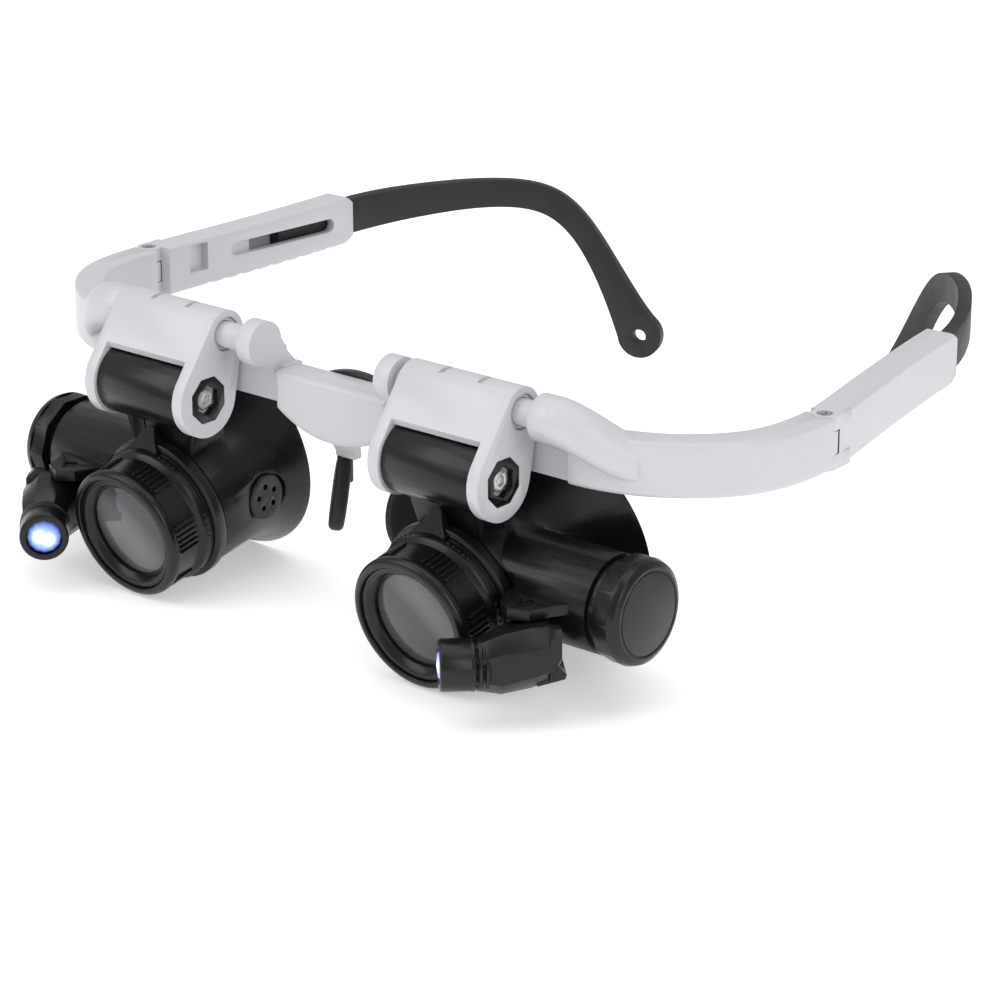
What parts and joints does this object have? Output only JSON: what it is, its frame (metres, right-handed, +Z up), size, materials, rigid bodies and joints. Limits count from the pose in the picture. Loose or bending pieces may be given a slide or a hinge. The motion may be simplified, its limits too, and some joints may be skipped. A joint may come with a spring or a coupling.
{
  "type": "head visor magnifier",
  "caption": "Head-worn magnifier: a spectacle frame with sliding temples carries flip-up tilting loupes, each with a swivelling lamp and its own battery tube.",
  "frame": {"origin": "centre of the whole part's plan box, on the surface it stands on (rims of the loupes)", "axes": "+X to the wearer's left, -Y the way the wearer looks, +Z up"},
  "size_m": [0.1548, 0.152, 0.0501],
  "materials": {
    "white_plastic": "smooth moulded white plastic",
    "black_plastic": "satin moulded black plastic",
    "dark_soft_plastic": "matte dark grey flexible plastic",
    "soft_black": "soft black pad",
    "steel": "plated steel",
    "glass": "clear coated glass",
    "lamp_lens": "clear lamp lens with a cool white source"
  },
  "bodies": {
    "frame": {"front_frame": "white_plastic", "frame_screws": "steel", "nose_pad_carrier": "black_plastic", "nose_pad_arm_left": "white_plastic", "nose_pad_arm_right": "white_plastic", "pivot_rod_left": "white_plastic", "pivot_rod_right": "white_plastic"},
    "slide_left": {"friction_sleeve_left": "white_plastic"},
    "bracket_left": {"bracket_left": "white_plastic", "bracket_inserts_left": "black_plastic", "clamp_screw_left": "steel", "clamp_nut_left": "steel"},
    "loupe_left": {"loupe_body_left": "black_plastic", "vent_plug_left": "black_plastic", "battery_cells_left": "steel", "battery_contact_left": "steel"},
    "lens_ring_left": {"lens_ring_left": "black_plastic", "objective_lens_left": "glass", "lens_retainer_left": "black_plastic"},
    "battery_cap_left": {"battery_cap_left": "black_plastic", "battery_spring_left": "steel"},
    "lamp_left": {"lamp_left": "black_plastic", "led_left": "lamp_lens"},
    "temple_left": {"temple_left": "white_plastic", "temple_hinge_screw_left": "steel"},
    "tip_left": {"temple_tip_left": "dark_soft_plastic"},
    "nose_pad_left": {"nose_pad_left": "soft_black"},
    "slide_right": {"friction_sleeve_right": "white_plastic"},
    "bracket_right": {"bracket_right": "white_plastic", "bracket_inserts_right": "black_plastic", "clamp_screw_right": "steel", "clamp_nut_right": "steel"},
    "loupe_right": {"loupe_body_right": "black_plastic", "vent_plug_right": "black_plastic", "battery_cells_right": "steel", "battery_contact_right": "steel"},
    "lens_ring_right": {"lens_ring_right": "black_plastic", "objective_lens_right": "glass", "lens_retainer_right": "black_plastic"},
    "battery_cap_right": {"battery_cap_right": "black_plastic", "battery_spring_right": "steel"},
    "lamp_right": {"lamp_right": "black_plastic", "led_right": "lamp_lens"},
    "temple_right": {"temple_right": "white_plastic", "temple_hinge_screw_right": "steel"},
    "tip_right": {"temple_tip_right": "dark_soft_plastic"},
    "nose_pad_right": {"nose_pad_right": "soft_black"}
  },
  "joints": [
    {"name": "pupil_slide_left", "type": "slide", "parent": "frame", "child": "slide_left", "axis": [1, 0, 0], "range_m": [-0.0019, 0.0038]},
    {"name": "bracket_flip_left", "type": "hinge", "parent": "slide_left", "child": "bracket_left", "pos_m": [0.0301, -0.05167, 0.046], "axis": [1, 0, 0], "range_deg": [-90, 0]},
    {"name": "loupe_tilt_left", "type": "hinge", "parent": "bracket_left", "child": "loupe_left", "pos_m": [0.0301, -0.05637, 0.03556], "axis": [1, 0, 0], "range_deg": [-20, 3]},
    {"name": "lens_ring_turn_left", "type": "hinge", "parent": "loupe_left", "child": "lens_ring_left", "pos_m": [0.0301, -0.06644, 0.01165], "axis": [0, -0.9804, -0.1968], "range_deg": [0, 30]},
    {"name": "battery_cap_turn_left", "type": "hinge", "parent": "loupe_left", "child": "battery_cap_left", "pos_m": [0.0641, -0.04827, 0.0167], "axis": [1, 0, 0], "range_deg": [0, 90]},
    {"name": "lamp_swivel_left", "type": "hinge", "parent": "loupe_left", "child": "lamp_left", "pos_m": [0.049, -0.05977, 0.01599], "axis": [0, 0, 1], "range_deg": [0, 12]},
    {"name": "temple_fold_left", "type": "hinge", "parent": "frame", "child": "temple_left", "pos_m": [0.075, -0.01747, 0.04], "axis": [0, 0, 1], "range_deg": [-2.2, 42.8]},
    {"name": "tip_slide_left", "type": "slide", "parent": "temple_left", "child": "tip_left", "axis": [-0.1461, 0.9893, 0], "range_m": [-0.003, 0.012]},
    {"name": "nose_pad_rock_left", "type": "hinge", "parent": "frame", "child": "nose_pad_left", "pos_m": [0.0076, -0.03917, 0.0225], "axis": [0, 0, 1], "range_deg": [-10, 10]},
    {"name": "pupil_slide_right", "type": "slide", "parent": "frame", "child": "slide_right", "axis": [1, 0, 0], "range_m": [0, 0.0057]},
    {"name": "bracket_flip_right", "type": "hinge", "parent": "slide_right", "child": "bracket_right", "pos_m": [-0.0339, -0.05167, 0.046], "axis": [1, 0, 0], "range_deg": [-90, 0]},
    {"name": "loupe_tilt_right", "type": "hinge", "parent": "bracket_right", "child": "loupe_right", "pos_m": [-0.0339, -0.05637, 0.03556], "axis": [1, 0, 0], "range_deg": [-20, 3]},
    {"name": "lens_ring_turn_right", "type": "hinge", "parent": "loupe_right", "child": "lens_ring_right", "pos_m": [-0.0339, -0.06644, 0.01165], "axis": [0, -0.9804, -0.1968], "range_deg": [0, 30]},
    {"name": "battery_cap_turn_right", "type": "hinge", "parent": "loupe_right", "child": "battery_cap_right", "pos_m": [-0.0679, -0.04827, 0.0167], "axis": [-1, 0, 0], "range_deg": [0, 90]},
    {"name": "lamp_swivel_right", "type": "hinge", "parent": "loupe_right", "child": "lamp_right", "pos_m": [-0.0528, -0.05977, 0.01599], "axis": [0, 0, 1], "range_deg": [-12, 0]},
    {"name": "temple_fold_right", "type": "hinge", "parent": "frame", "child": "temple_right", "pos_m": [-0.075, -0.01747, 0.04], "axis": [0, 0, 1], "range_deg": [-45, 0]},
    {"name": "tip_slide_right", "type": "slide", "parent": "temple_right", "child": "tip_right", "axis": [0.108, 0.9942, 0], "range_m": [-0.003, 0.012]},
    {"name": "nose_pad_rock_right", "type": "hinge", "parent": "frame", "child": "nose_pad_right", "pos_m": [-0.0076, -0.03917, 0.0225], "axis": [0, 0, 1], "range_deg": [-10, 10]}
  ]
}
